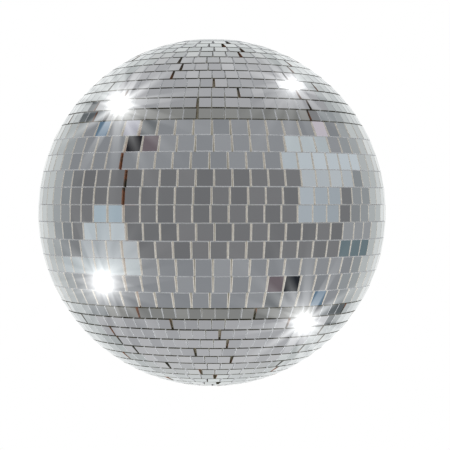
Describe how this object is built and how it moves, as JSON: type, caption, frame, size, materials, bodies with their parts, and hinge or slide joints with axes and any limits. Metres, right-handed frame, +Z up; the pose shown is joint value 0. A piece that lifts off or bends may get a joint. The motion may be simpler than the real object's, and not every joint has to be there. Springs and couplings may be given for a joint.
{
  "type": "mirror ball",
  "caption": "Mirror ball: a hollow two-part core covered with rows of flat square mirror tiles, with a fold-down wire bail on a swivel in a cup let into its top.",
  "frame": {"origin": "mouth of the tapped hole in the spindle's head, on the ball's axis, where the ball is held", "axes": "+Z up along the swivel's axis, away from the ball; the folded bail lies towards +Y and its pivot runs along X"},
  "size_m": [0.2093, 0.2094, 0.2078],
  "materials": {
    "band_mirror": "back-silvered glass, ground edges",
    "cap_mirror": "back-silvered glass, ground edges",
    "adhesive_scrim": "woven scrim soaked in amber adhesive",
    "core_plastic": "moulded, matt",
    "cup_aluminium": "die-cast, vibration polished",
    "plated_steel": "bright nickel plate",
    "zinc_steel": "bright zinc plate",
    "bearing_nylon": "natural, turned",
    "nut_nylon": "moulded"
  },
  "bodies": {
    "hanger": {"lug_plate": "plated_steel", "spindle": "plated_steel", "steel_washer": "zinc_steel", "lock_nut": "zinc_steel", "nut_insert": "nut_nylon"},
    "bail": {"bail": "plated_steel"},
    "ball": {"band_row_01": "band_mirror", "band_row_02": "band_mirror", "band_row_03": "band_mirror", "band_row_04": "band_mirror", "band_row_05": "band_mirror", "band_row_06": "band_mirror", "band_row_07": "band_mirror", "band_row_08": "band_mirror", "band_row_09": "band_mirror", "band_row_10": "band_mirror", "band_row_11": "band_mirror", "bottom_cap_row_01": "cap_mirror", "bottom_cap_row_02": "cap_mirror", "bottom_cap_row_03": "cap_mirror", "bottom_cap_row_04": "cap_mirror", "bottom_cap_row_05": "cap_mirror", "bottom_cap_row_06": "cap_mirror", "bottom_cap_row_07": "cap_mirror", "bottom_cap_row_08": "cap_mirror", "bottom_cap_row_09": "cap_mirror", "bottom_cap_row_10": "cap_mirror", "bottom_cap_row_11": "cap_mirror", "bottom_cap_row_12": "cap_mirror", "bottom_cap_row_13": "cap_mirror", "bottom_cap_row_14": "cap_mirror", "bush": "bearing_nylon", "clamp_ring": "cup_aluminium", "core_lower": "core_plastic", "core_upper": "core_plastic", "flange_screws": "zinc_steel", "hanger_cup": "cup_aluminium", "pole_tile": "cap_mirror", "scrim_lower": "adhesive_scrim", "scrim_upper": "adhesive_scrim", "thrust_washer": "bearing_nylon", "top_cap_row_01": "cap_mirror", "top_cap_row_02": "cap_mirror", "top_cap_row_03": "cap_mirror", "top_cap_row_04": "cap_mirror", "top_cap_row_05": "cap_mirror", "top_cap_row_06": "cap_mirror", "top_cap_row_07": "cap_mirror", "top_cap_row_08": "cap_mirror", "top_cap_row_09": "cap_mirror", "top_cap_row_10": "cap_mirror", "top_cap_row_11": "cap_mirror"}
  },
  "joints": [
    {"name": "ball_spin", "type": "hinge", "parent": "hanger", "child": "ball", "pos_m": [0, 0, 0], "axis": [0, 0, 1], "continuous": true},
    {"name": "bail_fold", "type": "hinge", "parent": "hanger", "child": "bail", "pos_m": [0, 0, -0.0017], "axis": [1, 0, 0], "range_deg": [0, 180]}
  ]
}
